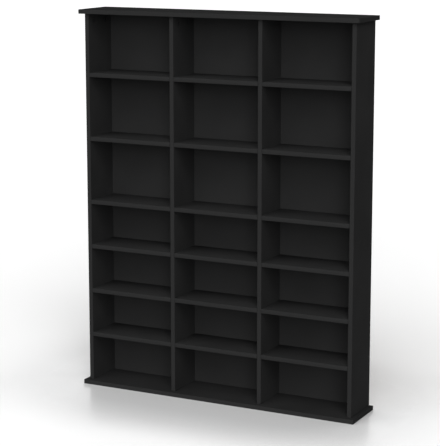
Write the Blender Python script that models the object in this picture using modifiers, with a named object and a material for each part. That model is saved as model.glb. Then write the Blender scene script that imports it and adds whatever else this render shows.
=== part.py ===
# A black flat-pack rack for discs: three columns of seven open compartments.
# A top and a base overhang two sides and two dividers. Eighteen shelves rest on pins in line-bored holes,
# and three thin back panels slide in grooves. Cams and bolts pull the top on, and screws from below hold
# the base.
# Metres, +Z up, the open front towards -Y, the origin on the floor under the middle of the rack.

import math

import bmesh
import bpy
from mathutils import Matrix, Vector

# Boards
BOARD = 0.015  # thickness of every board but the back
COLUMN_CLEAR = 0.317  # between two neighbouring uprights
UPRIGHT_DEPTH = 0.162
SIDE_OVERHANG = 0.015  # of the top and base, past each side
FRONT_OVERHANG = 0.018  # of the top and base, past the uprights' front edges
EDGE_ROUND = 0.0008  # rounding along the boards' edges
EDGE_SEGMENTS = 1
SMOOTH_ANGLE = math.radians(40)  # flatter edges than this are shaded smooth on the turned pieces
COLUMN_NAMES = ("left", "middle", "right")
UPRIGHT_NAMES = ("left_side", "left_divider", "right_divider", "right_side")

# Rows, from the base up
BOTTOM_CLEAR = 0.160  # under the lowest shelf
TOP_CLEAR = 0.204  # over the highest shelf
PIN_STEP = 0.032  # spacing of the line boring
ROW_STEPS = (5, 5, 5, 7, 7)  # steps of line boring from each shelf to the next one up

# Fits
SEAT_GAP = 0.0003  # between pieces that touch
SHELF_END_GAP = 0.0005  # between a shelf and the boards round it
OVERRUN = 0.002  # how far a cut runs past the face it opens
MERGE_DISTANCE = 0.00003  # points nearer than this become one

# Back panels, which slide in grooves
BACK_THICKNESS = 0.003
BACK_SETBACK = 0.009  # board left behind the groove
GROOVE_WEB = 0.005  # board left between the grooves in a divider's two faces

# Shelf pins, which are fixed in the shelves and plug into the uprights
PIN_RADIUS = 0.0025
PIN_REACH = 0.008  # length under the shelf
PIN_LET_IN = 0.001  # how deep a pin lies in the shelf's underside
PIN_WEB = 0.002  # board left between the holes in a divider's two faces
PIN_SETBACK = 0.030  # from a shelf's front and rear edges
PIN_SIDES = 8

# Where the fasteners stand along an upright's ends
FASTENER_SETBACK = 0.037  # from the front edge, and from the back panel
FASTENER_SIDES = 8

# Bolts that are screwed into the top and hang in the cams
BOLT_THREAD_RADIUS = 0.003
BOLT_COVER = 0.0045  # top board left over the thread
BOLT_SHANK_RADIUS = 0.0035
BOLT_SHANK_GAP = 0.001  # between the shank and the cam's rim
BOLT_NECK_RADIUS = 0.0017
BOLT_HEAD_RADIUS = 0.003
BOLT_CHAMFER = 0.0008
BOLT_HEAD_RINGS = 3

# Cams, each a drum with a hooked slot that draws the bolt's head down
CAM_RADIUS = 0.0072
CAM_DROP = 0.024  # from the upright's top edge to the cam's axis
CAM_FLOOR = 0.0009  # metal under the hollow
CAM_HOLLOW_ROOM = 0.0012  # between the bolt's head and the hollow's round wall
CAM_CLEARANCE = 0.0004  # along the cam's axis, round the bolt's neck and head
CAM_CROSS_LENGTH = 0.007
CAM_CROSS_WIDTH = 0.0012
CAM_CROSS_DEPTH = 0.0018
CAM_SIDES = 16
CAM_SLOT_TURN = math.radians(115)  # from the locked bolt's neck round to the slot's wide way in

# Screws driven up through the base
SCREW_SINK = 0.0005  # head below the base's underside
SCREW_HEAD_RADIUS = 0.005
SCREW_HEAD_DEPTH = 0.0035
SCREW_COLLAR_RADIUS = 0.0035
SCREW_THREAD_RADIUS = 0.003
SCREW_REACH = 0.035  # into the upright
SCREW_TIP = 0.004  # length of the taper at the end
SCREW_TIP_RADIUS = 0.0012
SCREW_SOCKET_RADIUS = 0.0023  # six-sided socket for the key
SCREW_SOCKET_DEPTH = 0.003
SCREW_SOCKET_SIDES = 6

# Dowels between the fasteners
DOWEL_RADIUS = 0.004
DOWEL_REACH = 0.019  # into the upright
DOWEL_COVER = 0.004  # board left past the dowel in the top or base
DOWEL_CHAMFER = 0.001

# Worked out from the sizes above
COLUMN_STEP = COLUMN_CLEAR + BOARD
BODY_WIDTH = len(COLUMN_NAMES) * COLUMN_STEP + BOARD
SLAB_WIDTH = BODY_WIDTH + 2 * SIDE_OVERHANG
SLAB_DEPTH = UPRIGHT_DEPTH + FRONT_OVERHANG
LOWEST_SHELF = BOARD + BOTTOM_CLEAR
HIGHEST_SHELF = LOWEST_SHELF + sum(ROW_STEPS) * PIN_STEP
TOP_UNDERSIDE = HIGHEST_SHELF + BOARD + TOP_CLEAR
UPRIGHT_LOW = BOARD + SEAT_GAP  # heights of an upright's two ends
UPRIGHT_HIGH = TOP_UNDERSIDE - SEAT_GAP
REAR = SLAB_DEPTH / 2
FRONT = REAR - UPRIGHT_DEPTH  # front edges of the uprights and shelves
BACK_FACE = REAR - BACK_SETBACK - BACK_THICKNESS  # inner face of the back panels
BACK_MIDDLE = BACK_FACE + BACK_THICKNESS / 2
GROOVE_DEPTH = (BOARD - GROOVE_WEB) / 2
GROOVE_WIDTH = BACK_THICKNESS + 2 * SEAT_GAP
BACK_TONGUE = GROOVE_DEPTH - SEAT_GAP  # how far a back panel stands in its grooves
BACK_WIDTH = COLUMN_CLEAR + 2 * BACK_TONGUE
BACK_HEIGHT = TOP_UNDERSIDE - BOARD + 2 * BACK_TONGUE
SHELF_WIDTH = COLUMN_CLEAR - 2 * SHELF_END_GAP
SHELF_DEPTH = BACK_FACE - FRONT - SHELF_END_GAP
PIN_DROP = PIN_RADIUS - PIN_LET_IN  # from a shelf's underside to its pins' axes
PIN_HOLE_DEPTH = (BOARD - PIN_WEB) / 2
PIN_PLACES = (FRONT + PIN_SETBACK, FRONT + SHELF_DEPTH - PIN_SETBACK)
FASTENER_PLACES = {"front": FRONT + FASTENER_SETBACK, "rear": BACK_FACE - FASTENER_SETBACK}
DOWEL_PLACE = sum(FASTENER_PLACES.values()) / 2
DOWEL_SEAT = BOARD - DOWEL_COVER  # dowel hole in the top or base
BOLT_SEAT = BOARD - BOLT_COVER  # bolt hole in the top
CAM_HOLLOW_HALF = BOLT_HEAD_RADIUS + CAM_CLEARANCE
CAM_HOLLOW_RADIUS = BOLT_HEAD_RADIUS + CAM_HOLLOW_ROOM
CAM_LENGTH = BOARD / 2 - SEAT_GAP + CAM_HOLLOW_HALF + CAM_FLOOR
CAM_BORE_DEPTH = CAM_LENGTH + 2 * SEAT_GAP
CAM_MIDDLE = SEAT_GAP - BOARD / 2  # the bolt's axis, measured from the cam's outer face
CAM_SLOT_LEAD = math.asin((BOLT_NECK_RADIUS + CAM_CLEARANCE) / CAM_HOLLOW_RADIUS)


def shelf_levels():
    """Heights of the undersides of one column's shelves."""
    levels = [LOWEST_SHELF]
    for steps in ROW_STEPS:
        levels.append(levels[-1] + steps * PIN_STEP)
    return levels


def upright_places():
    """Each upright's name and the x of its middle."""
    first = BOARD / 2 - BODY_WIDTH / 2
    return {name: first + i * COLUMN_STEP for i, name in enumerate(UPRIGHT_NAMES)}


def drilled_faces(name):
    """The faces of an upright that look into a column: -1 for its left face, 1 for its right face."""
    if name == UPRIGHT_NAMES[0]:
        return (1,)
    if name == UPRIGHT_NAMES[-1]:
        return (-1,)
    return (-1, 1)


def cam_face(name):
    """The face of an upright that takes the cams, the one towards the middle of the rack."""
    return 1 if upright_places()[name] < 0 else -1


def clear_scene():
    for obj in list(bpy.data.objects):
        bpy.data.objects.remove(obj, do_unlink=True)


def new_collection(name):
    collection = bpy.data.collections.new(name)
    bpy.context.scene.collection.children.link(collection)
    return collection


def new_material(name, color, roughness, metallic=0.0):
    material = bpy.data.materials.new(name)
    material.use_nodes = True
    shader = material.node_tree.nodes["Principled BSDF"]
    shader.inputs["Base Color"].default_value = (*color, 1.0)
    shader.inputs["Roughness"].default_value = roughness
    shader.inputs["Metallic"].default_value = metallic
    material.diffuse_color = (*color, 1.0)
    return material


def add_object(name, mesh, collection, place=(0, 0, 0), turn=(0, 0, 0), parent=None):
    obj = bpy.data.objects.new(name, mesh)
    collection.objects.link(obj)
    obj.location = place
    obj.rotation_euler = turn
    obj.parent = parent
    return obj


def add_box(bm, size, centre=(0, 0, 0)):
    matrix = Matrix.Translation(Vector(centre)) @ Matrix.Diagonal((*size, 1))
    bmesh.ops.create_cube(bm, size=1, matrix=matrix)


def add_rod(bm, radius, start, end, sides):
    """Adds a straight round bar between two points."""
    start, end = Vector(start), Vector(end)
    run = end - start
    turn = run.to_track_quat("Z", "Y").to_matrix().to_4x4()
    matrix = Matrix.Translation((start + end) / 2) @ turn
    bmesh.ops.create_cone(
        bm, cap_ends=True, segments=sides, radius1=radius, radius2=radius, depth=run.length, matrix=matrix
    )


def add_mesh(bm, mesh, place):
    """Adds a copy of a mesh, moved to a place."""
    start = len(bm.verts)
    bm.from_mesh(mesh)
    bm.verts.ensure_lookup_table()
    bmesh.ops.translate(bm, vec=Vector(place), verts=bm.verts[start:])


def mesh_from(bm, name):
    mesh = bpy.data.meshes.new(name)
    bm.to_mesh(mesh)
    bm.free()
    return mesh


def box_mesh(name, size):
    bm = bmesh.new()
    add_box(bm, size)
    return mesh_from(bm, name)


def round_edges(obj, width=EDGE_ROUND):
    bevel = obj.modifiers.new("rounded_edges", "BEVEL")
    bevel.width = width
    bevel.segments = EDGE_SEGMENTS
    bevel.limit_method = "ANGLE"


def combine(obj, other, operation):
    """Cuts the other object out of this one, or joins it on."""
    boolean = obj.modifiers.new(other.name, "BOOLEAN")
    boolean.operation = operation
    boolean.solver = "EXACT"
    boolean.object = other


def add_cutter(name, mesh, parent=None):
    cutter = add_object(name, mesh, cutters, parent=parent)
    cutter.hide_render = True
    cutter.display_type = "WIRE"
    return cutter


def finished_mesh(obj, name, smooth_angle=None):
    """The object's mesh with its modifiers applied. The object and its cutters are removed."""
    bpy.context.view_layer.update()
    graph = bpy.context.evaluated_depsgraph_get()
    mesh = bpy.data.meshes.new_from_object(obj.evaluated_get(graph))
    mesh.name = name
    if smooth_angle is not None:
        mesh.shade_smooth()
        mesh.set_sharp_from_angle(angle=smooth_angle)
    helpers = [m.object for m in obj.modifiers if m.type == "BOOLEAN"]
    for used in [obj, *helpers]:
        bpy.data.objects.remove(used, do_unlink=True)
    return mesh


def turned_object(name, profile, sides):
    """A turned shape about Z. The profile's (radius, height) points run down its outer side."""
    bm = bmesh.new()
    points = [bm.verts.new((radius, 0, height)) for radius, height in profile]
    for upper, lower in zip(points, points[1:]):
        bm.edges.new((upper, lower))
    obj = add_object(name, mesh_from(bm, name), cutters)
    screw = obj.modifiers.new("turned", "SCREW")
    screw.axis = "Z"
    screw.steps = screw.render_steps = sides
    screw.use_merge_vertices = True
    screw.merge_threshold = MERGE_DISTANCE
    return obj


def turned_mesh(name, profile, sides):
    return finished_mesh(turned_object(name, profile, sides), name, SMOOTH_ANGLE)


def sector_mesh(name, radius, start, end, thickness, sides):
    """A slice of a disc about Z, centred on the XY plane."""
    curve = bpy.data.curves.new(name, "CURVE")
    curve.dimensions = "2D"
    curve.fill_mode = "BOTH"
    curve.extrude = thickness / 2
    angles = [start + (end - start) * i / sides for i in range(sides + 1)]
    outline = [(0, 0)] + [(radius * math.cos(a), radius * math.sin(a)) for a in angles]
    spline = curve.splines.new("POLY")
    spline.points.add(len(outline) - 1)
    for point, (x, y) in zip(spline.points, outline):
        point.co = (x, y, 0, 1)
    spline.use_cyclic_u = True
    mesh = finished_mesh(add_object(name, curve, cutters), name)
    bm = bmesh.new()
    bm.from_mesh(mesh)
    bmesh.ops.remove_doubles(bm, verts=bm.verts, dist=MERGE_DISTANCE)
    bmesh.ops.recalc_face_normals(bm, faces=bm.faces)
    bm.to_mesh(mesh)
    bm.free()
    return mesh


def make_upright(name, x):
    """A side or a divider, line-bored and grooved on the faces that look into a column."""
    low, high = UPRIGHT_LOW, UPRIGHT_HIGH
    height = high - low
    middle = Vector((x, REAR - UPRIGHT_DEPTH / 2, (low + high) / 2))
    mesh = box_mesh(name, (BOARD, UPRIGHT_DEPTH, height))
    board = add_object(name, mesh, parts, middle, parent=rack)
    board.data.materials.append(laminate)
    round_edges(board)

    bores = bmesh.new()
    for face in drilled_faces(name):
        wall = x + face * BOARD / 2
        for level in shelf_levels():
            for y in PIN_PLACES:
                inner = Vector((wall - face * PIN_HOLE_DEPTH, y, level - PIN_DROP)) - middle
                outer = Vector((wall + face * OVERRUN, y, level - PIN_DROP)) - middle
                add_rod(bores, PIN_RADIUS + SEAT_GAP, inner, outer, PIN_SIDES)
        groove = (GROOVE_DEPTH + OVERRUN, GROOVE_WIDTH, height + 2 * OVERRUN)
        centre = (wall + face * (OVERRUN - GROOVE_DEPTH) / 2 - middle.x, BACK_MIDDLE - middle.y, 0)
        add_box(bores, groove, centre)
    face = cam_face(name)
    wall = x + face * BOARD / 2
    cam_height = high - CAM_DROP
    for y in FASTENER_PLACES.values():
        inner = Vector((wall - face * CAM_BORE_DEPTH, y, cam_height)) - middle
        outer = Vector((wall + face * OVERRUN, y, cam_height)) - middle
        add_rod(bores, CAM_RADIUS + SEAT_GAP, inner, outer, CAM_SIDES)
        bottom = Vector((x, y, low - OVERRUN)) - middle
        end = Vector((x, y, low + SCREW_REACH + SEAT_GAP)) - middle
        add_rod(bores, SCREW_THREAD_RADIUS + SEAT_GAP, bottom, end, FASTENER_SIDES)
    for outside, inside in ((low - OVERRUN, low + DOWEL_REACH), (high + OVERRUN, high - DOWEL_REACH)):
        start = Vector((x, DOWEL_PLACE, outside)) - middle
        end = Vector((x, DOWEL_PLACE, inside)) - middle
        add_rod(bores, DOWEL_RADIUS + SEAT_GAP, start, end, FASTENER_SIDES)
    combine(board, add_cutter(name + "_bores", mesh_from(bores, name + "_bores"), board), "DIFFERENCE")

    shanks = bmesh.new()
    for y in FASTENER_PLACES.values():
        start = Vector((x, y, high + OVERRUN)) - middle
        end = Vector((x, y, cam_height)) - middle
        add_rod(shanks, BOLT_SHANK_RADIUS + SEAT_GAP, start, end, FASTENER_SIDES)
    combine(board, add_cutter(name + "_shanks", mesh_from(shanks, name + "_shanks"), board), "DIFFERENCE")


def make_slab(name, underside, inner_face, cutter_bm):
    """The top or the base. Its inner face, 1 for up or -1 for down, takes the groove and the dowels."""
    middle = Vector((0, 0, underside + BOARD / 2))
    slab = add_object(name, box_mesh(name, (SLAB_WIDTH, SLAB_DEPTH, BOARD)), parts, middle, parent=rack)
    slab.data.materials.append(laminate)
    round_edges(slab)
    surface = inner_face * BOARD / 2
    groove_length = BODY_WIDTH - 2 * BOARD + 2 * GROOVE_DEPTH
    groove_middle = surface + inner_face * (OVERRUN - GROOVE_DEPTH) / 2
    groove = (groove_length, GROOVE_WIDTH, GROOVE_DEPTH + OVERRUN)
    add_box(cutter_bm, groove, (0, BACK_MIDDLE, groove_middle))
    for x in upright_places().values():
        start = (x, DOWEL_PLACE, surface + inner_face * OVERRUN)
        end = (x, DOWEL_PLACE, surface - inner_face * DOWEL_SEAT)
        add_rod(cutter_bm, DOWEL_RADIUS + SEAT_GAP, start, end, FASTENER_SIDES)
    combine(slab, add_cutter(name + "_bores", mesh_from(cutter_bm, name + "_bores"), slab), "DIFFERENCE")


def make_top():
    bores = bmesh.new()
    for x in upright_places().values():
        for y in FASTENER_PLACES.values():
            start = (x, y, -BOARD / 2 - OVERRUN)
            end = (x, y, BOLT_SEAT - BOARD / 2)
            add_rod(bores, BOLT_THREAD_RADIUS + SEAT_GAP, start, end, FASTENER_SIDES)
    make_slab("top_panel", TOP_UNDERSIDE, -1, bores)


def make_base():
    """The base, countersunk from below for the screws."""
    collar = SCREW_COLLAR_RADIUS + SEAT_GAP
    head = SCREW_HEAD_RADIUS + SEAT_GAP
    profile = [
        (0, BOARD + OVERRUN),
        (collar, BOARD + OVERRUN),
        (collar, SCREW_SINK + SCREW_HEAD_DEPTH),
        (head, SCREW_SINK),
        (head, -OVERRUN),
        (0, -OVERRUN),
    ]
    countersink = turned_mesh("countersink", profile, FASTENER_SIDES)
    bores = bmesh.new()
    for x in upright_places().values():
        for y in FASTENER_PLACES.values():
            add_mesh(bores, countersink, (x, y, -BOARD / 2))
    bpy.data.meshes.remove(countersink)
    make_slab("base_panel", 0, 1, bores)


def make_back_panels():
    mesh = box_mesh("back_panel", (BACK_WIDTH, BACK_THICKNESS, BACK_HEIGHT))
    mesh.materials.append(hardboard)
    for i, column in enumerate(COLUMN_NAMES):
        place = (column_middle(i), BACK_MIDDLE, (TOP_UNDERSIDE + BOARD) / 2)
        add_object(column + "_back_panel", mesh, parts, place, parent=rack)


def column_middle(index):
    return (index + 0.5) * COLUMN_STEP + BOARD / 2 - BODY_WIDTH / 2


def shelf_mesh():
    """A shelf with its four pins let into its underside. Its origin is the middle of that underside."""
    bm = bmesh.new()
    add_box(bm, (SHELF_WIDTH, SHELF_DEPTH, BOARD), (0, 0, BOARD / 2))
    board = add_object("shelf", mesh_from(bm, "shelf"), cutters)
    round_edges(board)
    pins = bmesh.new()
    plug_end = COLUMN_CLEAR / 2 + PIN_HOLE_DEPTH - SEAT_GAP
    inner_end = SHELF_WIDTH / 2 - PIN_REACH
    for side in (-1, 1):
        for y in (PIN_SETBACK - SHELF_DEPTH / 2, SHELF_DEPTH / 2 - PIN_SETBACK):
            start = (side * inner_end, y, -PIN_DROP)
            end = (side * plug_end, y, -PIN_DROP)
            add_rod(pins, PIN_RADIUS, start, end, PIN_SIDES)
    combine(board, add_cutter("pins", mesh_from(pins, "pins")), "UNION")
    mesh = finished_mesh(board, "shelf")
    mesh.materials.clear()
    mesh.materials.append(laminate)
    return mesh


def make_shelves():
    mesh = shelf_mesh()
    for i, column in enumerate(COLUMN_NAMES):
        for row, level in enumerate(shelf_levels(), 1):
            place = (column_middle(i), FRONT + SHELF_DEPTH / 2, level)
            add_object(f"{column}_shelf_{row}", mesh, parts, place, parent=rack)


def cam_mesh():
    """A cam about Z, with its outer face at zero and the locked bolt's neck along +X."""
    bm = bmesh.new()
    add_rod(bm, CAM_RADIUS, (0, 0, -CAM_LENGTH), (0, 0, 0), CAM_SIDES)
    drum = add_object("cam", mesh_from(bm, "cam"), cutters)

    hollow = bmesh.new()
    top, bottom = CAM_MIDDLE + CAM_HOLLOW_HALF, CAM_MIDDLE - CAM_HOLLOW_HALF
    add_rod(hollow, CAM_HOLLOW_RADIUS, (0, 0, bottom), (0, 0, top), CAM_SIDES)
    combine(drum, add_cutter("cam_hollow", mesh_from(hollow, "cam_hollow")), "DIFFERENCE")

    reach = CAM_RADIUS + OVERRUN
    neck_room = 2 * (BOLT_NECK_RADIUS + CAM_CLEARANCE)
    slot = add_cutter(
        "cam_slot", sector_mesh("cam_slot", reach, -CAM_SLOT_LEAD, CAM_SLOT_TURN, neck_room, CAM_SIDES)
    )
    slot.location.z = CAM_MIDDLE
    combine(drum, slot, "DIFFERENCE")

    entry = bmesh.new()
    way = Vector((math.cos(CAM_SLOT_TURN), math.sin(CAM_SLOT_TURN), 0)) * reach
    start = Vector((0, 0, CAM_MIDDLE))
    add_rod(entry, CAM_HOLLOW_HALF, start, start + way, FASTENER_SIDES)
    combine(drum, add_cutter("cam_entry", mesh_from(entry, "cam_entry")), "DIFFERENCE")

    for name, size in (
        ("cam_cross_x", (CAM_CROSS_LENGTH, CAM_CROSS_WIDTH, 2 * CAM_CROSS_DEPTH)),
        ("cam_cross_y", (CAM_CROSS_WIDTH, CAM_CROSS_LENGTH, 2 * CAM_CROSS_DEPTH)),
    ):
        combine(drum, add_cutter(name, box_mesh(name, size)), "DIFFERENCE")
    mesh = finished_mesh(drum, "cam", SMOOTH_ANGLE)
    mesh.materials.clear()
    mesh.materials.append(zinc)
    return mesh


def bolt_mesh():
    """A cam bolt about Z, with zero at the top's underside and its head on the cam's axis."""
    thread_top = BOLT_SEAT - SEAT_GAP
    axis = -SEAT_GAP - CAM_DROP
    shank_end = axis + CAM_RADIUS + BOLT_SHANK_GAP
    profile = [
        (0, thread_top),
        (BOLT_THREAD_RADIUS - BOLT_CHAMFER, thread_top),
        (BOLT_THREAD_RADIUS, thread_top - BOLT_CHAMFER),
        (BOLT_THREAD_RADIUS, -SEAT_GAP),
        (BOLT_SHANK_RADIUS, -SEAT_GAP),
        (BOLT_SHANK_RADIUS, shank_end),
        (BOLT_NECK_RADIUS, shank_end),
    ]
    start = math.asin(BOLT_NECK_RADIUS / BOLT_HEAD_RADIUS)
    for i in range(BOLT_HEAD_RINGS):
        angle = start + (math.pi - start) * i / BOLT_HEAD_RINGS
        profile.append((BOLT_HEAD_RADIUS * math.sin(angle), axis + BOLT_HEAD_RADIUS * math.cos(angle)))
    profile.append((0, axis - BOLT_HEAD_RADIUS))
    mesh = turned_mesh("cam_bolt", profile, FASTENER_SIDES)
    mesh.materials.clear()
    mesh.materials.append(steel)
    return mesh


def make_cam_joints():
    """A cam and its bolt at the front and rear of each upright's top end."""
    cam, bolt = cam_mesh(), bolt_mesh()
    height = UPRIGHT_HIGH - CAM_DROP
    for name, x in upright_places().items():
        face = cam_face(name)
        turn = (math.pi if face > 0 else 0, -math.pi / 2, 0)
        wall = x + face * (BOARD / 2 - SEAT_GAP)
        for end, y in FASTENER_PLACES.items():
            add_object(f"{name}_{end}_cam", cam, parts, (wall, y, height), turn, rack)
            add_object(f"{name}_{end}_cam_bolt", bolt, parts, (x, y, TOP_UNDERSIDE), parent=rack)


def screw_mesh():
    """A countersunk screw about Z, with zero at the flat of its head."""
    head_end = SCREW_HEAD_DEPTH
    collar_end = BOARD - SCREW_SINK
    tip = collar_end + SEAT_GAP + SCREW_REACH
    profile = [
        (0, tip),
        (SCREW_TIP_RADIUS, tip),
        (SCREW_THREAD_RADIUS, tip - SCREW_TIP),
        (SCREW_THREAD_RADIUS, collar_end),
        (SCREW_COLLAR_RADIUS, collar_end),
        (SCREW_COLLAR_RADIUS, head_end),
        (SCREW_HEAD_RADIUS, 0),
        (0, 0),
    ]
    screw = turned_object("base_screw", profile, FASTENER_SIDES)
    socket = bmesh.new()
    add_rod(socket, SCREW_SOCKET_RADIUS, (0, 0, -OVERRUN), (0, 0, SCREW_SOCKET_DEPTH), SCREW_SOCKET_SIDES)
    combine(screw, add_cutter("socket", mesh_from(socket, "socket")), "DIFFERENCE")
    mesh = finished_mesh(screw, "base_screw", SMOOTH_ANGLE)
    mesh.materials.clear()
    mesh.materials.append(steel)
    return mesh


def make_base_screws():
    mesh = screw_mesh()
    for name, x in upright_places().items():
        for end, y in FASTENER_PLACES.items():
            add_object(f"{name}_{end}_base_screw", mesh, parts, (x, y, SCREW_SINK), parent=rack)


def make_dowels():
    """A dowel in the middle of each upright's top and bottom end."""
    in_slab = DOWEL_SEAT - SEAT_GAP
    in_upright = DOWEL_REACH
    half = (in_slab + in_upright) / 2
    profile = [
        (0, half),
        (DOWEL_RADIUS - DOWEL_CHAMFER, half),
        (DOWEL_RADIUS, half - DOWEL_CHAMFER),
        (DOWEL_RADIUS, DOWEL_CHAMFER - half),
        (DOWEL_RADIUS - DOWEL_CHAMFER, -half),
        (0, -half),
    ]
    mesh = turned_mesh("dowel", profile, FASTENER_SIDES)
    mesh.materials.clear()
    mesh.materials.append(beech)
    offset = (in_slab - in_upright) / 2
    for name, x in upright_places().items():
        add_object(f"{name}_top_dowel", mesh, parts, (x, DOWEL_PLACE, TOP_UNDERSIDE + offset), parent=rack)
        add_object(f"{name}_base_dowel", mesh, parts, (x, DOWEL_PLACE, BOARD - offset), parent=rack)


clear_scene()
parts = new_collection("cd_rack")
cutters = new_collection("cutters")
laminate = new_material("black_laminate", (0.020, 0.020, 0.021), 0.60)
hardboard = new_material("black_faced_hardboard", (0.019, 0.019, 0.020), 0.70)
zinc = new_material("black_zinc", (0.040, 0.040, 0.043), 0.50, 1.0)
steel = new_material("zinc_plated_steel", (0.60, 0.60, 0.58), 0.30, 1.0)
beech = new_material("beech", (0.62, 0.44, 0.26), 0.60)
rack = bpy.data.objects.new("rack", None)
parts.objects.link(rack)

make_base()
make_top()
for upright_name, upright_x in upright_places().items():
    make_upright(upright_name, upright_x)
make_back_panels()
make_shelves()
make_cam_joints()
make_base_screws()
make_dowels()
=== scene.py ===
# A black flat-pack rack for discs in a plain white studio. The CAD boards, backs and fittings get
# their finishes here, and the shelves and their pins are made finer on the same places.
import math

import bmesh
import bpy
from mathutils import Matrix, Vector


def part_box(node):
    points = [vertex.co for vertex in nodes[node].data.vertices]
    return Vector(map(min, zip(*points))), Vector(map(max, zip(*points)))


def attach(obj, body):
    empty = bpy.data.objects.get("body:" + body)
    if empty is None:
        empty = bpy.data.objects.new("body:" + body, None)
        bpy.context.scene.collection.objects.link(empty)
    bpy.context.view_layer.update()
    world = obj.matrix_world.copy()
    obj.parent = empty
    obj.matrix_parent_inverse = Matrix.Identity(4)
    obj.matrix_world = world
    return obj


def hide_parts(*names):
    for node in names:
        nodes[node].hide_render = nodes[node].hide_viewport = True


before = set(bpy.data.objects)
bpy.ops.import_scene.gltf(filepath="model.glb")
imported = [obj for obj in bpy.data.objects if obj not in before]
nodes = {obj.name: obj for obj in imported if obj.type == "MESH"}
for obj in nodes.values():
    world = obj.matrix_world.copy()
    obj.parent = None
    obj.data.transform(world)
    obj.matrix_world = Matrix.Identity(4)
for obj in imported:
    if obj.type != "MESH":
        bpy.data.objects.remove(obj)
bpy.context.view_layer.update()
scene = bpy.context.scene
scene.view_settings.view_transform = "Standard"

# Places read from the frame
topLow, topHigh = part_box("top_panel")
sideLow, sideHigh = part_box("left_side")
dividerLow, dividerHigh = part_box("left_divider")
backLow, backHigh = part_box("left_back_panel")
boardThickness = topHigh.z - topLow.z
columnStep = dividerLow.x - sideLow.x
uprightFront = sideLow.y
rackRear = sideHigh.y
slabFront = topLow.y
slabEnd = topHigh.x
backMiddle = (backLow.y + backHigh.y) / 2
columns = ("left", "middle", "right")
shelvesInColumn = 6
print("frame read")


# Node helpers
def newMaterial(name):
    material = bpy.data.materials.new(name)
    material.use_nodes = True
    return material, material.node_tree, material.node_tree.nodes["Principled BSDF"]


def addNode(tree, kind, links=(), values=(), **settings):
    node = tree.nodes.new(kind)
    for key, value in settings.items():
        setattr(node, key, value)
    for key, value in dict(values).items():
        node.inputs[key].default_value = value
    for key, source in dict(links).items():
        tree.links.new(source, node.inputs[key])
    return node


def give(tree, socket, value):
    # A link from another socket, or a plain number or colour
    if isinstance(value, bpy.types.NodeSocket):
        tree.links.new(value, socket)
    elif isinstance(value, tuple):
        socket.default_value = (*value, 1.0)
    else:
        socket.default_value = value


def calc(tree, operation, *values):
    node = tree.nodes.new("ShaderNodeMath")
    node.operation = operation
    for socket, value in zip(node.inputs, values):
        give(tree, socket, value)
    return node.outputs[0]


def mixColor(tree, factor, a, b):
    node = tree.nodes.new("ShaderNodeMix")
    node.data_type = "RGBA"
    for index, value in ((0, factor), (6, a), (7, b)):
        give(tree, node.inputs[index], value)
    return node.outputs[2]


def mixNumber(tree, factor, a, b):
    node = tree.nodes.new("ShaderNodeMix")
    node.data_type = "FLOAT"
    for index, value in ((0, factor), (2, a), (3, b)):
        give(tree, node.inputs[index], value)
    return node.outputs[0]


def objectPlace(tree):
    return tree.nodes.new("ShaderNodeTexCoord").outputs["Object"]


def splitPlace(tree, place):
    return addNode(tree, "ShaderNodeSeparateXYZ", {"Vector": place}).outputs


def scaledPlace(tree, place, scale):
    return addNode(tree, "ShaderNodeMapping", {"Vector": place}, {"Scale": scale}).outputs["Vector"]


def noise(tree, place, scale, detail, roughness=0.5):
    values = {"Scale": scale, "Detail": detail, "Roughness": roughness}
    return addNode(tree, "ShaderNodeTexNoise", {"Vector": place}, values).outputs["Fac"]


def spread(tree, value, low, high, to=(0.0, 1.0)):
    # The value's range from low to high, laid over another range and held at its ends
    values = {"From Min": low, "From Max": high, "To Min": to[0], "To Max": to[1]}
    return addNode(tree, "ShaderNodeMapRange", {"Value": value}, values).outputs["Result"]


def bump(tree, height, strength, distance, under=None):
    links = {"Height": height}
    if under is not None:
        links["Normal"] = under
    values = {"Strength": strength, "Distance": distance}
    return addNode(tree, "ShaderNodeBump", links, values).outputs["Normal"]


def feed(tree, shader, **sockets):
    for name, source in sockets.items():
        tree.links.new(source, shader.inputs[name.replace("_", " ")])


# Black laminate on particle board, with a band along the front edges
laminateLook = {
    "tone": (0.0252, 0.0253, 0.0254),
    "toneCloud": (0.0290, 0.0291, 0.0292),
    "cloud": {"scale": 7.0, "detail": 3.0},
    "cloudRange": (0.35, 0.65),
    "roughness": (0.78, 0.90),
    "specular": 0.0002,
    "grimeStretch": (11.0, 5.0, 11.0),
    "grime": {"scale": 1.0, "detail": 5.0, "roughness": 0.6},
    "grimeRange": (0.3, 0.7),
    "bandTone": (0.0266, 0.0267, 0.0268),
    "bandRoughness": 0.74,
    "bandWidth": 0.0010,
    "bandHeight": 0.5,  # flat, in the middle of the pearl's heights
    "seamTone": (0.008, 0.008, 0.008),
    "seamWidth": 0.00018,
    "seamStrength": 0.6,
    "wornTone": (0.060, 0.060, 0.060),
    "wornShare": 0.55,
    "wornWidth": (0.0009, 0.00036),  # from where the knocks start to where they are full
    "wornMargin": 0.0001,
    "rubs": {"scale": 55.0, "detail": 4.0, "roughness": 0.65},
    "rubRange": (0.56, 0.72),
    "pearl": {"scale": 1500.0, "detail": 2.0, "roughness": 0.55},
    "pearlStrength": 0.5,
    "pearlDepth": 0.00004,
    "wave": {"scale": 38.0, "detail": 1.0},
    "waveStrength": 0.35,
    "waveDepth": 0.00012,
}

# Bare particle board on the rear edges
chipLook = {
    "core": (0.330, 0.215, 0.118),
    "light": (0.520, 0.385, 0.240),
    "lightRange": (0.35, 1.0),
    "dark": (0.120, 0.070, 0.036),
    "darkRange": (0.30, 0.0),
    "chipScale": 420.0,
    "fineScale": 1300.0,
    "fineShares": (0.24, 0.40),  # from the board's middle, as shares of its thickness
    "lengthwise": 0.4,
    "roughness": 0.92,
    "rearDepth": 0.0009,
}


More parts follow.
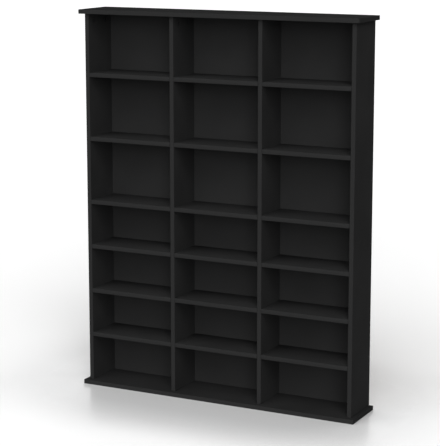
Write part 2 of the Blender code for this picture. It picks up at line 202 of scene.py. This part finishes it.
def chipFace(tree, place, across):
    # Colour and height of the cut edge; chips are coarse in the core and fine near the two faces
    look = chipLook
    coarse, fine = (
        addNode(tree, "ShaderNodeTexVoronoi", {"Vector": place}, {"Scale": scale, "Randomness": 1.0})
        for scale in (look["chipScale"], look["fineScale"])
    )
    nearFace = spread(tree, across, *(boardThickness * share for share in look["fineShares"]))
    coarseTone = splitPlace(tree, coarse.outputs["Color"])[0]
    fineTone = splitPlace(tree, fine.outputs["Color"])[0]
    chipTone = mixNumber(tree, nearFace, coarseTone, fineTone)
    chipDepth = mixNumber(tree, nearFace, coarse.outputs["Distance"], fine.outputs["Distance"])
    warm = mixColor(tree, spread(tree, chipTone, *look["lightRange"]), look["core"], look["light"])
    color = mixColor(tree, spread(tree, chipTone, *look["darkRange"]), warm, look["dark"])
    return color, calc(tree, "SUBTRACT", chipTone, chipDepth)


def depthFromBand(tree, x, y, front, ends):
    # How far in a point lies from the banded front edge, and from the ends of a slab
    depth = calc(tree, "SUBTRACT", y, front)
    if ends is not None:
        endDepth = calc(tree, "SUBTRACT", ends, calc(tree, "ABSOLUTE", x))
        depth = calc(tree, "MINIMUM", depth, endDepth)
    return depth


def awayFromMiddle(tree, x, z, acrossAxis, middles):
    # Distance from the middle of the nearest board's thickness
    if acrossAxis == "x":
        half = columnStep / 2
        offset = calc(tree, "SUBTRACT", x, middles)
        return calc(tree, "ABSOLUTE", calc(tree, "WRAP", offset, half, -half))
    nearBase, nearTop = (
        calc(tree, "ABSOLUTE", calc(tree, "SUBTRACT", z, middle)) for middle in middles
    )
    return calc(tree, "MINIMUM", nearBase, nearTop)


def makeLaminate(name, front, acrossAxis, middles, ends=None):
    # front is the y of the banded front edge; middles are those of the boards' thickness
    look = laminateLook
    material, tree, shader = newMaterial(name)
    place = objectPlace(tree)
    x, y, z = splitPlace(tree, place)[:3]

    cloud = noise(tree, place, **look["cloud"])
    grime = noise(tree, scaledPlace(tree, place, look["grimeStretch"]), **look["grime"])
    tone = mixColor(tree, spread(tree, cloud, *look["cloudRange"]), look["tone"], look["toneCloud"])
    rough = spread(tree, grime, *look["grimeRange"], look["roughness"])

    # Edge band along the front, and round the ends of a slab
    bandDepth = depthFromBand(tree, x, y, front, ends)
    onBand = calc(tree, "LESS_THAN", bandDepth, look["bandWidth"])
    seamMiddle = look["bandWidth"] + look["seamWidth"]
    seam = calc(tree, "COMPARE", bandDepth, seamMiddle, look["seamWidth"])
    tone = mixColor(tree, onBand, tone, look["bandTone"])
    rough = mixNumber(tree, onBand, rough, look["bandRoughness"])

    # Rubbed corners, where the band's outer edge has caught light knocks
    rubbed = spread(tree, noise(tree, place, **look["rubs"]), *look["rubRange"])
    onEdge = spread(tree, bandDepth, *look["wornWidth"])
    inside = calc(tree, "GREATER_THAN", bandDepth, look["wornMargin"])
    worn = calc(tree, "MULTIPLY", calc(tree, "MULTIPLY", onEdge, inside), rubbed)
    tone = mixColor(tree, calc(tree, "MULTIPLY", worn, look["wornShare"]), tone, look["wornTone"])
    tone = mixColor(tree, seam, tone, look["seamTone"])

    # Bare board behind
    across = awayFromMiddle(tree, x, z, acrossAxis, middles)
    lengthwise = chipLook["lengthwise"]
    stretch = (1.0, 1.0, lengthwise) if acrossAxis == "x" else (lengthwise, 1.0, 1.0)
    chips, chipHeight = chipFace(tree, scaledPlace(tree, place, stretch), across)
    bare = calc(tree, "GREATER_THAN", y, rackRear - chipLook["rearDepth"])
    tone = mixColor(tree, bare, tone, chips)
    rough = mixNumber(tree, bare, rough, chipLook["roughness"])

    # Pearl embossing, the laminate's slow waves, the seam's groove and the chips' relief
    pearl = noise(tree, place, **look["pearl"])
    surface = mixNumber(tree, bare, mixNumber(tree, onBand, pearl, look["bandHeight"]), chipHeight)
    normal = bump(tree, noise(tree, place, **look["wave"]), look["waveStrength"], look["waveDepth"])
    normal = bump(tree, surface, look["pearlStrength"], look["pearlDepth"], normal)
    groove = calc(tree, "SUBTRACT", 1.0, seam)
    normal = bump(tree, groove, look["seamStrength"], look["seamWidth"], normal)
    shader.inputs["Specular IOR Level"].default_value = look["specular"]
    feed(tree, shader, Base_Color=tone, Roughness=rough, Normal=normal)
    return material


# Thin back: black foil in front, bare brown hardboard behind
backLook = {
    "tone": (0.0243, 0.0244, 0.0245),
    "toneCloud": (0.0276, 0.0277, 0.0278),
    "cloud": {"scale": 5.0, "detail": 3.0},
    "cloudRange": (0.35, 0.65),
    "roughness": (0.80, 0.90),
    "roughRange": (0.3, 0.7),
    "specular": 0.0002,
    "grain": {"scale": 900.0, "detail": 2.0},
    "grainStrength": 0.4,
    "grainDepth": 0.00006,
    "brown": (0.150, 0.082, 0.042),
    "brownLight": (0.215, 0.128, 0.070),
    "brownRoughness": 0.86,
    "fibreStretch": (1.0, 1.0, 2.2),
    "fibres": {"scale": 240.0, "detail": 6.0, "roughness": 0.7},
    "fibreRange": (0.32, 0.72),
    "stain": {"scale": 3.2, "detail": 4.0, "roughness": 0.6},
    "stainRange": (0.45, 0.75),
    "stainShare": 0.35,
    "meshPitch": 0.0021,
    "meshStrength": 0.5,
    "meshDepth": 0.00012,
}


def makeHardboard(name):
    look = backLook
    material, tree, shader = newMaterial(name)
    place = objectPlace(tree)
    x, y, z = splitPlace(tree, place)[:3]
    cloud = spread(tree, noise(tree, place, **look["cloud"]), *look["cloudRange"])
    black = mixColor(tree, cloud, look["tone"], look["toneCloud"])
    fibres = noise(tree, scaledPlace(tree, place, look["fibreStretch"]), **look["fibres"])
    stain = noise(tree, place, **look["stain"])
    stained = calc(tree, "MULTIPLY", spread(tree, stain, *look["stainRange"]), look["stainShare"])
    lit = spread(tree, fibres, *look["fibreRange"])
    brown = mixColor(tree, lit, look["brown"], look["brownLight"])
    brown = mixColor(tree, stained, brown, look["brown"])
    behind = calc(tree, "GREATER_THAN", y, backMiddle)
    tone = mixColor(tree, behind, black, brown)
    rough = spread(tree, stain, *look["roughRange"], look["roughness"])
    rough = mixNumber(tree, behind, rough, look["brownRoughness"])

    # The press's wire mesh leaves its weave in the rear face
    turns = 2 * math.pi / look["meshPitch"]
    warp, weft = (calc(tree, "SINE", calc(tree, "MULTIPLY", along, turns)) for along in (x, z))
    weave = calc(tree, "MULTIPLY", calc(tree, "MULTIPLY", warp, weft), behind)
    normal = bump(tree, weave, look["meshStrength"], look["meshDepth"])
    grain = mixNumber(tree, behind, noise(tree, place, **look["grain"]), fibres)
    normal = bump(tree, grain, look["grainStrength"], look["grainDepth"], normal)
    shader.inputs["Specular IOR Level"].default_value = look["specular"]
    feed(tree, shader, Base_Color=tone, Roughness=rough, Normal=normal)
    return material


# Metal fittings and pins
metalLooks = {
    "black_zinc": {
        "tone": (0.030, 0.030, 0.032),
        "worn": (0.055, 0.055, 0.057),
        "roughness": (0.42, 0.60),
        "grainScale": 2600.0,
        "grainDepth": 0.00003,
    },
    "plated_steel": {
        "tone": (0.480, 0.475, 0.455),
        "worn": (0.600, 0.590, 0.560),
        "roughness": (0.28, 0.44),
        "grainScale": 1700.0,
        "grainDepth": 0.00002,
    },
}
castSurface = {
    "patches": {"scale": 160.0, "detail": 4.0, "roughness": 0.6},
    "patchRange": (0.35, 0.7),
    "roughRange": (0.3, 0.7),
    "grain": {"detail": 3.0, "roughness": 0.6},
    "grainStrength": 0.4,
}


def makeMetal(name):
    look, cast = metalLooks[name], castSurface
    material, tree, shader = newMaterial(name)
    place = objectPlace(tree)
    patches = noise(tree, place, **cast["patches"])
    grain = noise(tree, place, look["grainScale"], **cast["grain"])
    tone = mixColor(tree, spread(tree, patches, *cast["patchRange"]), look["tone"], look["worn"])
    rough = spread(tree, patches, *cast["roughRange"], look["roughness"])
    normal = bump(tree, grain, cast["grainStrength"], look["grainDepth"])
    shader.inputs["Metallic"].default_value = 1.0
    feed(tree, shader, Base_Color=tone, Roughness=rough, Normal=normal)
    return material


# Turned dowels
beechLook = {
    "tone": (0.560, 0.390, 0.235),
    "late": (0.430, 0.270, 0.145),
    "rings": {"scale": 700.0, "detail": 4.0, "roughness": 0.6},
    "ringStretch": (1.0, 1.0, 0.06),
    "ringRange": (0.35, 0.7),
    "ringStrength": 0.4,
    "ringDepth": 0.00005,
    "fleck": (0.300, 0.170, 0.085),
    "flecks": {"scale": 1600.0, "detail": 2.0},
    "fleckStretch": (1.0, 1.0, 0.15),
    "fleckRange": (0.62, 0.72),
    "roughness": 0.66,
}


def makeBeech(name):
    look = beechLook
    material, tree, shader = newMaterial(name)
    place = objectPlace(tree)
    rings = noise(tree, scaledPlace(tree, place, look["ringStretch"]), **look["rings"])
    flecks = noise(tree, scaledPlace(tree, place, look["fleckStretch"]), **look["flecks"])
    tone = mixColor(tree, spread(tree, rings, *look["ringRange"]), look["tone"], look["late"])
    tone = mixColor(tree, spread(tree, flecks, *look["fleckRange"]), tone, look["fleck"])
    normal = bump(tree, rings, look["ringStrength"], look["ringDepth"])
    shader.inputs["Roughness"].default_value = look["roughness"]
    feed(tree, shader, Base_Color=tone, Normal=normal)
    return material


uprightMiddle = (dividerLow.x + dividerHigh.x) / 2
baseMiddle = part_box("base_panel")[0].z + boardThickness / 2
topMiddle = topLow.z + boardThickness / 2
uprightLaminate = makeLaminate("black_laminate_upright", uprightFront, "x", uprightMiddle)
slabLaminate = makeLaminate("black_laminate_slab", slabFront, "z", (baseMiddle, topMiddle), slabEnd)
hardboard = makeHardboard("black_faced_hardboard")
blackZinc = makeMetal("black_zinc")
platedSteel = makeMetal("plated_steel")
beech = makeBeech("beech")
print("materials made")


# The carried-over pieces take their finish by what they are
def finishFor(name):
    if name in ("top_panel", "base_panel"):
        return slabLaminate
    if name.endswith("_back_panel"):
        return hardboard
    if name.endswith("_cam"):
        return blackZinc
    if name.endswith(("_cam_bolt", "_base_screw")):
        return platedSteel
    if name.endswith("_dowel"):
        return beech
    return uprightLaminate


for name, node in nodes.items():
    node.data.materials.clear()
    node.data.materials.append(finishFor(name))
print("frame finished")


# Shelves: one rounded board, notched underneath for its pins and repeated at every shelf's place
shelfBoard = {
    "endGap": 0.0005,
    "edgeRound": 0.0009,
    "roundSteps": 3,
    "roundProfile": 0.5,
    "notchClearance": 0.0003,
    "notchSides": 20,
    "smoothAngle": math.radians(35),
}

# Plain black pins in the uprights' holes, four under each shelf
shelfPin = {
    "radius": 0.0025,
    "sides": 24,
    "chamfer": 0.0007,
    "reach": 0.008,  # under the shelf
    "letIn": 0.001,
    "setback": 0.030,
    "holeDepth": 0.0065,
    "seatGap": 0.0003,
    "weldDistance": 0.00002,
}
columnClear = columnStep - boardThickness
shelfWidth = columnClear - 2 * shelfBoard["endGap"]
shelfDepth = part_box("left_shelf_1")[1].y - uprightFront
pinDrop = shelfPin["radius"] - shelfPin["letIn"]
pinRows = (shelfPin["setback"] - shelfDepth / 2, shelfDepth / 2 - shelfPin["setback"])
pinStart = shelfWidth / 2 - shelfPin["reach"]
pinEnd = columnClear / 2 + shelfPin["holeDepth"] - shelfPin["seatGap"]


def shelfPlaces(names):
    # Middle of each shelf's underside
    places = []
    for name in names:
        low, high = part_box(name)
        places.append(Vector(((low.x + high.x) / 2, (low.y + high.y) / 2, high.z - boardThickness)))
    return places


def bareObject(name, data):
    piece = bpy.data.objects.new(name, data)
    scene.collection.objects.link(piece)
    return piece


def objectFrom(bm, name):
    mesh = bpy.data.meshes.new(name)
    bm.to_mesh(mesh)
    bm.free()
    return bareObject(name, mesh)


def smooth(piece):
    piece.data.shade_smooth()
    piece.data.set_sharp_from_angle(angle=shelfBoard["smoothAngle"])


def plainPiece(source, name):
    # The evaluated mesh without its modifiers, on a new object; the source goes
    bpy.context.view_layer.update()
    graph = bpy.context.evaluated_depsgraph_get()
    mesh = bpy.data.meshes.new_from_object(source.evaluated_get(graph))
    mesh.name = name
    bpy.data.objects.remove(source, do_unlink=True)
    piece = bareObject(name, mesh)
    smooth(piece)
    return piece


def makeNotches():
    bm = bmesh.new()
    radius = shelfPin["radius"] + shelfBoard["notchClearance"]
    for side in (-1, 1):
        for y in pinRows:
            made = bmesh.ops.create_cone(
                bm,
                cap_ends=True,
                segments=shelfBoard["notchSides"],
                radius1=radius,
                radius2=radius,
                depth=2 * shelfPin["reach"],
            )
            bmesh.ops.rotate(bm, verts=made["verts"], matrix=Matrix.Rotation(math.pi / 2, 3, "Y"))
            bmesh.ops.translate(bm, verts=made["verts"], vec=(side * shelfWidth / 2, y, -pinDrop))
    return objectFrom(bm, "pin_notches")


def makeBoard():
    bm = bmesh.new()
    bmesh.ops.create_cube(bm, size=1.0)
    bmesh.ops.scale(bm, vec=(shelfWidth, shelfDepth, boardThickness), verts=bm.verts)
    bmesh.ops.translate(bm, vec=(0, 0, boardThickness / 2), verts=bm.verts)
    bmesh.ops.bevel(
        bm,
        geom=list(bm.edges),
        offset=shelfBoard["edgeRound"],
        segments=shelfBoard["roundSteps"],
        profile=shelfBoard["roundProfile"],
        affect="EDGES",
    )
    board = objectFrom(bm, "shelf_board")
    notches = makeNotches()
    cut = board.modifiers.new("notches", "BOOLEAN")
    cut.operation = "DIFFERENCE"
    cut.solver = "EXACT"
    cut.object = notches
    board = plainPiece(board, "shelf_board")
    bpy.data.objects.remove(notches, do_unlink=True)
    return board


def newTree(name, inputs):
    tree = bpy.data.node_groups.new(name, "GeometryNodeTree")
    tree.interface.new_socket("Geometry", in_out="INPUT", socket_type="NodeSocketGeometry")
    for label, kind in inputs:
        tree.interface.new_socket(label, in_out="INPUT", socket_type="NodeSocket" + kind)
    tree.interface.new_socket("Geometry", in_out="OUTPUT", socket_type="NodeSocketGeometry")
    return tree, tree.nodes.new("NodeGroupInput").outputs, tree.nodes.new("NodeGroupOutput").inputs


def setInputs(modifier, values):
    for item in modifier.node_group.interface.items_tree:
        if item.in_out == "INPUT" and item.name in values:
            modifier[item.identifier] = values[item.name]


def repeatOnPoints(tree, given, shape, result):
    # A copy of the shape on every point of the carrier, made real and given its finish
    points = addNode(tree, "GeometryNodeMeshToPoints", {"Mesh": given["Geometry"]}).outputs[0]
    copies = addNode(tree, "GeometryNodeInstanceOnPoints", {"Points": points, "Instance": shape})
    real = addNode(tree, "GeometryNodeRealizeInstances", {"Geometry": copies.outputs[0]}).outputs[0]
    done = addNode(tree, "GeometryNodeSetMaterial", {"Geometry": real, "Material": given["Finish"]})
    tree.links.new(done.outputs[0], result["Geometry"])


def boardTree():
    tree, given, result = newTree("repeated_boards", (("Piece", "Object"), ("Finish", "Material")))
    board = addNode(tree, "GeometryNodeObjectInfo", {"Object": given["Piece"]}).outputs["Geometry"]
    repeatOnPoints(tree, given, board, result)
    return tree


def pinTree():
    # A rod along X with a chamfer at both ends
    sizes = ("Radius", "Length", "Chamfer")
    inputs = (*((label, "Float") for label in sizes), ("Sides", "Int"), ("Finish", "Material"))
    tree, given, result = newTree("chamfered_pins", inputs)
    radius, length, chamfer, sides = (given[label] for label in (*sizes, "Sides"))
    shaftLength = calc(tree, "SUBTRACT", length, calc(tree, "MULTIPLY", chamfer, 2.0))
    tipRadius = calc(tree, "SUBTRACT", radius, chamfer)
    shaft = addNode(
        tree,
        "GeometryNodeMeshCylinder",
        {"Vertices": sides, "Radius": radius, "Depth": shaftLength},
        fill_type="NONE",
    ).outputs["Mesh"]
    tip = addNode(
        tree,
        "GeometryNodeMeshCone",
        {"Vertices": sides, "Radius Bottom": radius, "Radius Top": tipRadius, "Depth": chamfer},
    ).outputs
    openTip = addNode(
        tree,
        "GeometryNodeDeleteGeometry",
        {"Geometry": tip["Mesh"], "Selection": tip["Bottom"]},
        domain="FACE",
    ).outputs[0]
    halfShaft = calc(tree, "MULTIPLY", shaftLength, 0.5)
    up = addNode(tree, "ShaderNodeCombineXYZ", {"Z": halfShaft}).outputs[0]
    raised = {"Geometry": openTip, "Translation": up}
    top = addNode(tree, "GeometryNodeTransform", raised).outputs[0]
    turnOver, layDown = {"Rotation": (math.pi, 0, 0)}, {"Rotation": (0, math.pi / 2, 0)}
    bottom = addNode(tree, "GeometryNodeTransform", {"Geometry": top}, turnOver).outputs[0]
    joined = addNode(tree, "GeometryNodeJoinGeometry")
    for part in (shaft, top, bottom):
        tree.links.new(part, joined.inputs[0])
    loose, weld = {"Geometry": joined.outputs[0]}, {"Distance": shelfPin["weldDistance"]}
    welded = addNode(tree, "GeometryNodeMergeByDistance", loose, weld).outputs[0]
    lying = addNode(tree, "GeometryNodeTransform", {"Geometry": welded}, layDown).outputs[0]
    repeatOnPoints(tree, given, lying, result)
    return tree


def growPiece(name, points, tree, values):
    mesh = bpy.data.meshes.new(name + "_places")
    mesh.from_pydata([tuple(point) for point in points], [], [])
    source = bareObject(name + "_places", mesh)
    modifier = source.modifiers.new(name, "NODES")
    modifier.node_group = tree
    setInputs(modifier, values)
    return plainPiece(source, name)


def makeShelves():
    board = makeBoard()
    boardsTree, pinsTree = boardTree(), pinTree()
    boardInputs = {"Piece": board, "Finish": uprightLaminate}
    pinInputs = {
        "Radius": shelfPin["radius"],
        "Length": pinEnd - pinStart,
        "Chamfer": shelfPin["chamfer"],
        "Sides": shelfPin["sides"],
        "Finish": blackZinc,
    }
    pinMiddle = (pinStart + pinEnd) / 2
    pinOffsets = [Vector((side * pinMiddle, y, -pinDrop)) for side in (-1, 1) for y in pinRows]
    for column in columns:
        names = [f"{column}_shelf_{row}" for row in range(1, shelvesInColumn + 1)]
        spots = shelfPlaces(names)
        boards = growPiece(column + "_shelf_boards", spots, boardsTree, boardInputs)
        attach(boards, "root")
        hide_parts(*names)
        pinSpots = [spot + offset for spot in spots for offset in pinOffsets]
        pins = growPiece(column + "_shelf_pins", pinSpots, pinsTree, pinInputs)
        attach(pins, "root")
    bpy.data.objects.remove(board, do_unlink=True)


makeShelves()
print("shelves made")


# Studio: a pale floor with a painted shade round the rack, a tall key light from the front right,
# soft light from the front and the left, and a low light behind, which is kept out of the gloss. The
# lights' angles are in degrees, from the front and from the floor.
floorLook = {
    "halfSize": 60.0,
    "cuts": 4,
    "tone": (0.42, 0.42, 0.42),
    "shownTone": (0.95, 0.95, 0.95),
    "shownGlow": 0.42,
    # painted shade: ambient-occlusion masks that darken the floor's glow beside the rack
    "paintedShades": (
        {"reach": 0.60, "power": 6.5, "lean": (0.0, 0.0, 1.0)},
        {"reach": 4.00, "power": 3.4, "lean": (0.62, -0.69, 0.37)},
    ),
    "paintedShadeSamples": 8,
    "glossIor": 1.5,
    "glossRoughness": 0.24,
    "glossReach": (0.24, 0.40),
    "glossFade": (1.05, 0.30),
}
lightLook = {
    "keyLow": {"azimuth": 25.0, "elevation": 10.0, "softness": 34.0, "level": 0.54, "gloss": True},
    "keyHigh": {"azimuth": 35.0, "elevation": 38.0, "softness": 28.0, "level": 0.30, "gloss": True},
    "front": {"azimuth": 0.0, "elevation": 53.0, "softness": 50.0, "level": 0.20, "gloss": True},
    "fill": {"azimuth": -42.0, "elevation": 34.0, "softness": 50.0, "level": 0.12, "gloss": True},
    "rear": {"azimuth": -155.0, "elevation": 9.0, "softness": 30.0, "level": 0.34, "gloss": False},
}
lightDistance = 5.0
worldLook = {"light": 0.13, "shown": 1.0}
white = (1.0, 1.0, 1.0, 1.0)


def shownRays(tree):
    # 1 for the rays that show a backdrop: the camera's, and those of gloss and glass
    rays = tree.nodes.new("ShaderNodeLightPath").outputs
    mirrored = calc(tree, "MAXIMUM", rays["Is Glossy Ray"], rays["Is Transmission Ray"])
    return calc(tree, "MAXIMUM", rays["Is Camera Ray"], mirrored)


def paintedShade(tree, paintedShadeLook):
    # Painted shade for the floor's glow: falls from 1 in the open towards 0 beside the rack, on the
    # sides that the lean faces away from
    lean = addNode(tree, "ShaderNodeCombineXYZ", (), dict(enumerate(paintedShadeLook["lean"]))).outputs[0]
    clear = addNode(
        tree,
        "ShaderNodeAmbientOcclusion",
        {"Normal": lean},
        {"Distance": paintedShadeLook["reach"]},
        samples=floorLook["paintedShadeSamples"],
    ).outputs["AO"]
    return calc(tree, "POWER", clear, paintedShadeLook["power"])


def nearRack(tree):
    # 1 beside the base, 0 out on the open floor
    x, y = splitPlace(tree, objectPlace(tree))[:2]
    squares = []
    for along, half, reach in zip((x, y), (slabEnd, -slabFront), floorLook["glossReach"]):
        beside = calc(tree, "SUBTRACT", calc(tree, "ABSOLUTE", along), half)
        share = calc(tree, "DIVIDE", calc(tree, "MAXIMUM", beside, 0.0), reach)
        squares.append(calc(tree, "POWER", share, 2.0))
    away = calc(tree, "SQRT", calc(tree, "ADD", *squares))
    return spread(tree, away, *floorLook["glossFade"])


def makeFloor():
    # Pale and slightly glossy round the rack, fading to plain white; it keeps the rack's shadow from
    # the lamps, and its glow carries a painted shade beside the rack
    look = floorLook
    bm = bmesh.new()
    cuts = look["cuts"]
    bmesh.ops.create_grid(bm, x_segments=cuts, y_segments=cuts, size=look["halfSize"])
    floor = objectFrom(bm, "floor")
    material, tree, shader = newMaterial("pale_floor")
    tree.nodes.remove(shader)
    shown = shownRays(tree)
    tone = mixColor(tree, shown, look["tone"], look["shownTone"])
    pale = addNode(tree, "ShaderNodeBsdfDiffuse", {"Color": tone}).outputs[0]
    glowWithPaintedShade = calc(tree, "MULTIPLY", shown, look["shownGlow"])
    # Painted shade: the glow is darkened beside the rack by the ambient-occlusion masks
    for paintedShadeLook in look["paintedShades"]:
        glowWithPaintedShade = calc(tree, "MULTIPLY", glowWithPaintedShade, paintedShade(tree, paintedShadeLook))
    glowing = addNode(tree, "ShaderNodeEmission", {"Strength": glowWithPaintedShade}).outputs[0]
    matt = addNode(tree, "ShaderNodeAddShader", {0: pale, 1: glowing}).outputs[0]

    fresnel = addNode(tree, "ShaderNodeFresnel", (), {"IOR": look["glossIor"]}).outputs[0]
    gloss = calc(tree, "MULTIPLY", shown, calc(tree, "MULTIPLY", nearRack(tree), fresnel))
    shine = addNode(
        tree, "ShaderNodeBsdfAnisotropic", (), {"Color": white, "Roughness": look["glossRoughness"]}
    ).outputs[0]
    surface = addNode(tree, "ShaderNodeMixShader", {0: gloss, 1: matt, 2: shine}).outputs[0]
    tree.links.new(surface, tree.nodes["Material Output"].inputs["Surface"])
    floor.data.materials.append(material)


def makeLights():
    # A level of 1 shows a colour that faces the light as it is written
    for name, look in lightLook.items():
        lamp = bpy.data.lights.new(name, "SUN")
        lamp.angle = math.radians(look["softness"])
        lamp.energy = look["level"] * math.pi
        holder = bareObject(name + "_light", lamp)
        holder.visible_glossy = look["gloss"]
        turn, rise = math.radians(look["azimuth"]), math.radians(look["elevation"])
        level = math.cos(rise)
        source = Vector((math.sin(turn) * level, -math.cos(turn) * level, math.sin(rise)))
        holder.rotation_euler = source.to_track_quat("Z", "Y").to_euler()
        holder.location = source * lightDistance


def makeWorld():
    world = bpy.data.worlds.new("studio")
    scene.world = world
    world.use_nodes = True
    tree = world.node_tree
    background = tree.nodes["Background"]
    background.inputs["Color"].default_value = white
    strength = mixNumber(tree, shownRays(tree), worldLook["light"], worldLook["shown"])
    tree.links.new(strength, background.inputs["Strength"])


# Angles in radians, lengths in metres, and the lens in pixels of the picture
cameraLook = {
    "place": (2.4297, -4.8114, 1.679),
    "yaw": 0.4706,
    "pitch": 0.1801,
    "roll": -0.0002,
    "focalPixels": 1601.7,
    "middlePixels": (220.0, 200.0),
    "picture": (440, 446),
    "sensor": 36.0,
}


def makeCamera():
    look = cameraLook
    wide, tall = look["picture"]
    longSide = max(wide, tall)
    lens = bpy.data.cameras.new("camera")
    lens.sensor_width = look["sensor"]
    lens.lens = look["focalPixels"] * look["sensor"] / longSide
    lens.shift_x = (wide / 2 - look["middlePixels"][0]) / longSide
    lens.shift_y = (look["middlePixels"][1] - tall / 2) / longSide
    camera = bareObject("camera", lens)
    camera.location = look["place"]
    camera.rotation_euler = (math.pi / 2 - look["pitch"], -look["roll"], look["yaw"])
    scene.camera = camera


makeFloor()
makeLights()
makeWorld()
makeCamera()
print("studio lit")
